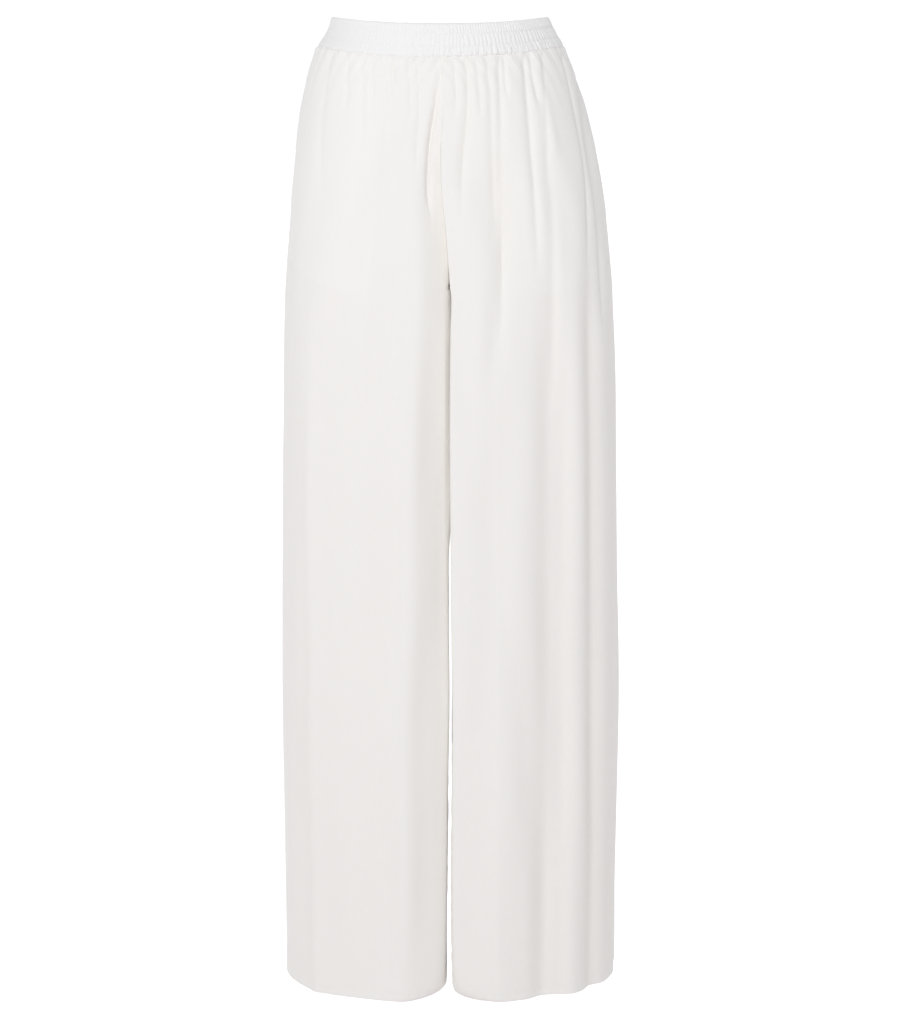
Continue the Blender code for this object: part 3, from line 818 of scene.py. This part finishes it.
def paint_bag_light(piece, leg, face):
    """Marks the painted light where a pocket bag lies behind a front. A back has none."""
    painted_bag_light = piece.data.attributes.new("painted_bag_light", "FLOAT", "POINT")
    values = np.zeros(len(piece.data.vertices))
    if face == "front":
        points = points_of(piece.data) / MM
        depth = -points[:, 2]
        mid = np.interp(depth, SECTIONS[:, 0], SECTIONS[:, SECTION_COLUMNS.index("mid_x")])
        values = painted_bag_light_at(leg * (points[:, 0] - mid), depth)
    painted_bag_light.data.foreach_set("value", values)


def make_panel(side, face, columns):
    """A front or back of one leg, with its hem turned up and its stitching."""
    leg = 1 if side == "left" else -1
    shares = even_shares(columns)
    depths = panel_depths()
    rows = [(depth, 0.0, depth) for depth in depths] + hem_rows(depths[-1])

    def place():
        points = np.empty((len(rows), columns + 1, 3))
        cut = np.empty((len(rows), columns + 1, 2))
        for row, (depth, inset, down) in enumerate(rows):
            distance = across_panel(leg, face, depth, shares)
            out = cloth_lift(leg, face, depth, distance) - inset
            points[row] = on_form(leg, depth, distance, out)
            cut[row, :, 0] = distance
            cut[row, :, 1] = -down
        return points, cut

    piece = flat_cloth(f"{face}_{side}", columns, len(rows) - 1, place)
    face_outwards(piece, (0, -1 if face == "front" else 1, 0))
    paint_bag_light(piece, leg, face)
    thicken(piece, CREPE)
    piece.data.materials.append(crepe)
    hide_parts(f"{face}_panel_{side}")
    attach(piece, "root")
    stitching = [sew_hem(side, face)] + ([tack_mouth(side)] if face == "front" else [])


for side in ("left", "right"):
    make_panel(side, "front", 220)
    make_panel(side, "back", 170)

# --------------------
# Pocket bags. Each pocket is two layers of thin plain lining, sewn together round the curved
# foot and the inner edge, and held by the waistband seam above and the side seam outside.

LINING = 0.3
LINING_IVORY = (0.90, 0.875, 0.84)
BAG_COLUMNS = 60
BAG_ROWS = 84
# A bag's shape is worked out at these depths, and its foot by how far out it is near the last.
BAG_TOP = BAND_DEPTH + 0.8
BAG_SHAPE_DEPTHS = np.linspace(BAG_TOP, 306.0, 62)
BAG_FOOT_ROW = -8
# A bag's clearance from the front, between its layers and from the side seam, how far its back
# layer bellies, and how much it waves.
BAG_BEHIND_FRONT = 0.65
LAYERS_APART = 0.15
BAG_SHORT_OF_SEAM = 0.4
BAG_BELLY = 1.1
BAG_SLACK = 0.35


def plain_lining_material():
    """Thin plain weave: fine threads across and down, crossing over and under."""
    lining, tree, shader = new_material("pocket_lining", {
        "Base Color": (*LINING_IVORY, 1.0), "Roughness": 0.7, "Specular IOR Level": 0.3,
    })
    cut = add_node(tree, "UVMap", uv_map="cut")
    weave = add_node(tree, "Math", operation="ADD")
    for direction, socket in zip(("X", "Y"), weave.inputs):
        threads = {"Scale": 640.0, "Distortion": 0.6}
        thread = add_node(tree, "TexWave", threads, bands_direction=direction)
        join(tree, cut, "UV", thread, "Vector")
        tree.links.new(thread.outputs["Fac"], socket)
    bump = add_node(tree, "Bump", {"Strength": 0.25, "Distance": 0.0002})
    join(tree, weave, "Value", bump, "Height")
    join(tree, bump, "Normal", shader, "Normal")
    return lining


lining = plain_lining_material()


def bag_under_front(leg, layer):
    """A bag's cloth under the front, past its foot: its points and distances round the leg, and
    how deep the foot is at each column."""
    shares = np.linspace(0, 1, BAG_COLUMNS + 1)
    round_leg = []
    for depth in BAG_SHAPE_DEPTHS:
        inner = ring_at(leg, depth).find("front", np.interp(depth, *zip(*BAG_INNER)))
        side_seam = panel_ends(leg, "front", depth)[1] - BAG_SHORT_OF_SEAM
        round_leg.append(inner + (side_seam - inner) * shares)
    foot_ring = ring_at(leg, BAG_SHAPE_DEPTHS[BAG_FOOT_ROW])
    foot_x = np.interp(round_leg[BAG_FOOT_ROW], foot_ring.at, foot_ring.x)
    foot = np.interp(foot_x, *zip(*BAG_FOOT))
    points = []
    for depth, distance in zip(BAG_SHAPE_DEPTHS, round_leg):
        to_foot = np.clip((foot - depth) / 16.0, 0, 1)
        to_inner = np.clip((distance - distance[0]) / 14.0, 0, 1)
        loose = (to_foot * to_inner) ** 0.6
        out = hang_at(leg, depth, distance) - CREPE - BAG_BEHIND_FRONT
        out = out + BAG_SLACK * np.sin(distance / 9.0 + depth / 37.0) * loose
        if layer == "back":
            out = out - LINING - LAYERS_APART - BAG_BELLY * loose
        points.append(on_form(leg, depth, distance, out))
    return np.array(points), np.array(round_leg), foot


def make_bag(side, layer):
    """One layer of a pocket bag, down to its curved foot."""
    leg = 1 if side == "left" else -1
    downs = np.linspace(0, 1, BAG_ROWS + 1)

    def place():
        under, round_leg, foot = bag_under_front(leg, layer)
        points = np.empty((BAG_ROWS + 1, BAG_COLUMNS + 1, 3))
        cut = np.empty((BAG_ROWS + 1, BAG_COLUMNS + 1, 2))
        for column in range(BAG_COLUMNS + 1):
            depth = BAG_TOP + downs * (foot[column] - BAG_TOP)
            for axis in range(3):
                points[:, column, axis] = np.interp(depth, BAG_SHAPE_DEPTHS, under[:, column, axis])
            cut[:, column, 0] = np.interp(depth, BAG_SHAPE_DEPTHS, round_leg[:, column])
            cut[:, column, 1] = -depth
        return points, cut

    piece = flat_cloth(f"pocket_{layer}_{side}", BAG_COLUMNS, BAG_ROWS, place)
    face_outwards(piece, (0, -1, 0))
    thicken(piece, LINING)
    piece.data.materials.append(lining)
    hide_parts(f"pocket_bag_{layer}_{side}")
    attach(piece, "root")


for side in ("left", "right"):
    make_bag(side, "front")
    make_bag(side, "back")

# --------------------
# Waistband. One strip of the crepe, folded over three rows of narrow elastic that are stitched
# in while stretched, so that the cloth ruches up between the rows of stitching.

# The band is the same crepe, its colour painted lighter and cooler: painted light, for the brighter
# light on the band.
BAND_PAINTED_LIGHT_IVORY = (0.925, 0.910, 0.882)
BAND_COLUMNS = 1740
# The three channels, from the top: their edges, how far they puff out, and how many ruches each
# has and how high they are.
CHANNEL_EDGES = (0.0, 11.4, 24.2, BAND_DEPTH)
CHANNEL_PUFF = (0.5, 0.6, 0.8)
RUCHES = (228, 156, 104)
RUCHE_HEIGHT = (1.1, 1.1, 2.3)
# How strongly the band is gathered, from the centre front round by the wearer's left.
RUCHE_SHARES = (
    (0.0, 1.1), (0.05, 1.2), (0.12, 1.3), (0.2, 1.1), (0.3, 0.9), (0.7, 0.9), (0.78, 0.4),
    (0.87, 0.3), (0.94, 0.5), (0.97, 0.8), (1.0, 1.1),
)
BAND_HALF_WALL = 1.3
STRIP_LENGTH = 980.0
# The depth of the band's crown and how much it wavers; over what depth its foot is tucked in, and
# how far.
CROWN = 1.4
CROWN_WAVER = 0.18
TUCKED_OVER = 2.6
TUCKED_IN = 0.7
# The inner face's ruches are lower and out of step. The stitches' spacing and length.
INNER_RUCHES = 0.5
OUT_OF_STEP = 0.0017
STITCH_COLUMNS = 6
STITCH_SHARE = 0.0036


def uneven(seed, share, waves):
    """A slow unevenness round the band, which meets itself, from -1 to 1."""
    chance = np.random.default_rng(seed)
    total = np.zeros_like(share)
    for count in waves:
        total += np.sin(2 * math.pi * (count * share + chance.uniform()))
    return total / len(waves)


def gathered_at(share):
    """How strongly the band is gathered at shares of the way round."""
    return np.interp(share, *zip(*RUCHE_SHARES))


def ruches_in(channel, share, across, seed):
    """Round crests and narrow slits of one channel, which lean and vary in strength."""
    count = RUCHES[channel]
    chance = np.random.default_rng(seed)
    drift = 0.8 * uneven(seed + 10, share, (3, 7, 12, 19, 31))
    lean = 0.5 * uneven(seed + 20, share, (5, 11, 23, 41))
    along = count * share + drift + lean * (across - 0.5)
    strengths = chance.uniform(0.4, 1.0, count)
    strength = strengths[np.floor(along).astype(int) % count] * gathered_at(share)
    crest = np.abs(np.sin(math.pi * along))
    if channel == 2:
        return RUCHE_HEIGHT[2] * strength**2 * (crest**0.5 - 0.75)
    return RUCHE_HEIGHT[channel] * strength * (crest**0.9 - 0.65)


def band_lift(depth, share):
    """How far the band's outer face stands out, at one depth and at shares of the way round.
    The lowest channel has fine ruches from the row above it and bolder ones from the seam."""
    lift = np.zeros_like(share)
    for channel in range(3):
        top, foot = CHANNEL_EDGES[channel : channel + 2]
        across = (depth - top) / (foot - top)
        inside = np.clip(min(depth - top + 0.9, foot + 0.9 - depth) / 1.8, 0, 1)
        if inside == 0:
            continue
        down = min(max(across, 0.0), 1.0)
        round_over = math.sqrt(max(0.0, 1 - (2 * down - 1) ** 2))
        lift += inside * CHANNEL_PUFF[channel] * round_over * gathered_at(share) ** 2
        if channel == 2:
            bold = 0.25 + 0.75 * min(max(across * 1.3, 0.0), 1.0)
            fine = 0.8 * (1 - down**2)
            lift += inside * bold * ruches_in(2, share, across, 62)
            lift += inside * fine * ruches_in(1, share, across, 61)
        else:
            strength = 0.6 + 0.4 * round_over
            lift += inside * strength * ruches_in(channel, share, across, 60 + channel)
    tucked = max(0.0, 1 - (BAND_DEPTH - depth) / TUCKED_OVER)
    return np.minimum(lift, lift * (1 - tucked)) - TUCKED_IN * tucked**2


def band_points(depth, share, out):
    """Points of the band in metres; the share goes from the centre front round by the left."""
    points = np.empty((len(share), 3))
    for leg in (1, -1):
        ring = ring_at(leg, depth)
        mine = share < 0.5 if leg > 0 else share >= 0.5
        part = share[mine] * 2 if leg > 0 else 2 - share[mine] * 2
        distance = ring.front_end + (ring.back_end - ring.front_end) * part
        points[mine] = on_form(leg, depth, distance, out[mine], keep_side=False)
    return points


def band_profile(share):
    """The band's rows, up its outer face, over the crown, down the inner face and out along the
    foot: each a depth and how far out."""
    rising = (np.linspace(35.8, 25.0, 12), np.linspace(24.2, 12.2, 10), np.linspace(11.4, CROWN, 9))
    profile = [(depth, band_lift(depth, share)) for depth in np.concatenate(rising)]
    crown = band_lift(CROWN, share)
    for angle in np.linspace(0, math.pi, 7)[1:-1]:
        out = crown / 2 - BAND_HALF_WALL * (1 - math.cos(angle)) + crown / 2 * math.cos(angle)
        profile.append((CROWN - CROWN * math.sin(angle), out))
    for depth in np.linspace(CROWN, 35.0, 13):
        ruched = INNER_RUCHES * band_lift(depth, (share + OUT_OF_STEP) % 1)
        profile.append((depth, -2 * BAND_HALF_WALL - ruched))
    for out in (0.5 - 2 * BAND_HALF_WALL, -0.9):
        profile.append((BAND_DEPTH, np.full_like(share, out)))
    profile.append(profile[0])
    return profile


def stitch_band(share):
    """The two rows of stitching between the channels."""
    stitched = share[:-1:STITCH_COLUMNS]
    rows = []
    for step in (0.0, STITCH_SHARE):
        turned = (stitched + step) % 1
        for depth in CHANNEL_EDGES[1:3]:
            rows.append(band_points(depth, turned, band_lift(depth, turned)))
    return sew("waistband_stitches", np.concatenate(rows[:2]), np.concatenate(rows[2:]))


def make_waistband():
    """The ruched band, a closed loop, with its stitching."""
    share = np.append(np.arange(BAND_COLUMNS) / BAND_COLUMNS, 0.0)
    profile = band_profile(share)

    def place():
        points = np.empty((len(profile), BAND_COLUMNS + 1, 3))
        cut = np.empty((len(profile), BAND_COLUMNS + 1, 2))
        waver = CROWN_WAVER * MM * uneven(97, share, (9, 21, 37, 58))
        wound = 0.0
        for row, (depth, out) in enumerate(profile):
            points[row] = band_points(depth, share, out)
            points[row, :, 2] += waver * (1 - depth / 40)
            if row:
                wound += float(np.linalg.norm(points[row, 0] - points[row - 1, 0])) / MM
            cut[row, :, 0] = np.arange(BAND_COLUMNS + 1) / BAND_COLUMNS * STRIP_LENGTH
            cut[row, :, 1] = wound
        return points, cut

    piece = flat_cloth("waistband_cloth", BAND_COLUMNS, len(profile) - 1, place)
    joined = bmesh.new()
    joined.from_mesh(piece.data)
    bmesh.ops.remove_doubles(joined, verts=joined.verts, dist=1e-6)
    joined.to_mesh(piece.data)
    joined.free()
    piece.data.shade_smooth()
    face_outwards(piece, (0, -1, 0))
    # The band's crepe, its colour painted lighter for the light on the band.
    piece.data.materials.append(crepe_material("waistband_crepe", BAND_PAINTED_LIGHT_IVORY, BAND_PAINTED_LIGHT_IVORY, 1.1))
    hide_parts("waistband")
    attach(piece, "root")
    stitching = stitch_band(share)


make_waistband()

# --------------------
# Floor, light and camera: a plain pale ground, and soft light from the front and upper left.

# Sizes here are in metres. The room's brightness level with the garment, overhead and in front.
FLOOR_DROP = 0.30
ROOM_LEVEL = 1.06
ROOM_TOP = 0.5
ROOM_FRONT = 0.565
DAYLIGHT = (0.978, 1.0, 1.033)


def make_floor():
    """A pale floor that glows softly from the garment backwards."""
    mesh = bmesh.new()
    bmesh.ops.create_circle(mesh, cap_ends=True, segments=96, radius=40.0)
    bmesh.ops.translate(mesh, vec=(0, 0, -LENGTH * MM - FLOOR_DROP), verts=mesh.verts)
    floor = add_built("floor", mesh)
    paint, tree, shader = new_material("floor_paint", {
        "Base Color": (0.95, 0.89, 0.90, 1.0), "Roughness": 0.9,
        "Emission Color": (1.0, 1.0, 1.0, 1.0),
    })
    ground = add_node(tree, "TexCoord")
    parts = add_node(tree, "SeparateXYZ")
    glow = add_node(tree, "MapRange", {
        "From Min": -0.2, "From Max": 0.4, "To Min": 0.0, "To Max": 0.75,
    })
    join(tree, ground, "Object", parts, "Vector")
    join(tree, parts, "Y", glow, "Value")
    join(tree, glow, "Result", shader, "Emission Strength")
    floor.data.materials.append(paint)


def make_surroundings():
    """A white backdrop behind, and a dimmer room in front and overhead."""
    world = bpy.data.worlds.new("studio")
    world.use_nodes = True
    tree = world.node_tree
    direction = add_node(tree, "TexCoord")
    parts = add_node(tree, "SeparateXYZ")
    overhead = add_node(tree, "MapRange", {
        "From Min": 0.12, "From Max": 0.5, "To Min": ROOM_LEVEL, "To Max": ROOM_TOP,
    })
    behind = add_node(
        tree, "MapRange", {"From Min": 0.45, "From Max": 0.9}, interpolation_type="SMOOTHSTEP"
    )
    blend = add_node(tree, "Mix", {"A": ROOM_FRONT})
    backdrop = tree.nodes["Background"]
    backdrop.inputs["Color"].default_value = (*DAYLIGHT, 1.0)
    join(tree, direction, "Generated", parts, "Vector")
    join(tree, parts, "Z", overhead, "Value")
    join(tree, parts, "Y", behind, "Value")
    join(tree, behind, "Result", blend, "Factor")
    join(tree, overhead, "Result", blend, "B")
    join(tree, blend, "Result", backdrop, "Strength")
    bpy.context.scene.world = world


def add_key_light():
    """A large soft light from above, in front and a little to the left of the view."""
    data = bpy.data.lights.new("key", "AREA")
    data.shape = "RECTANGLE"
    data.size = data.size_y = 1.5
    data.energy = 47.0
    data.color = DAYLIGHT
    lamp = add_object("key", data)
    lamp.location = (-0.62, -3.1, 1.15)
    to_hips = Vector((0.0, 0.0, -0.25)) - lamp.location
    lamp.rotation_euler = to_hips.to_track_quat("-Z", "Y").to_euler()


def add_camera():
    """A camera 3 m away, at the waist's height, looking down at the legs."""
    data = bpy.data.cameras.new("camera")
    data.sensor_width = 36.0
    data.lens = 95.7
    camera = add_object("camera", data)
    camera.location = (0.011, -3.0, -0.05)
    camera.rotation_euler = (math.radians(90 - 9.35), 0.0, 0.0)
    bpy.context.scene.camera = camera


make_floor()
make_surroundings()
add_key_light()
add_camera()
bpy.context.scene.view_settings.view_transform = "Standard"
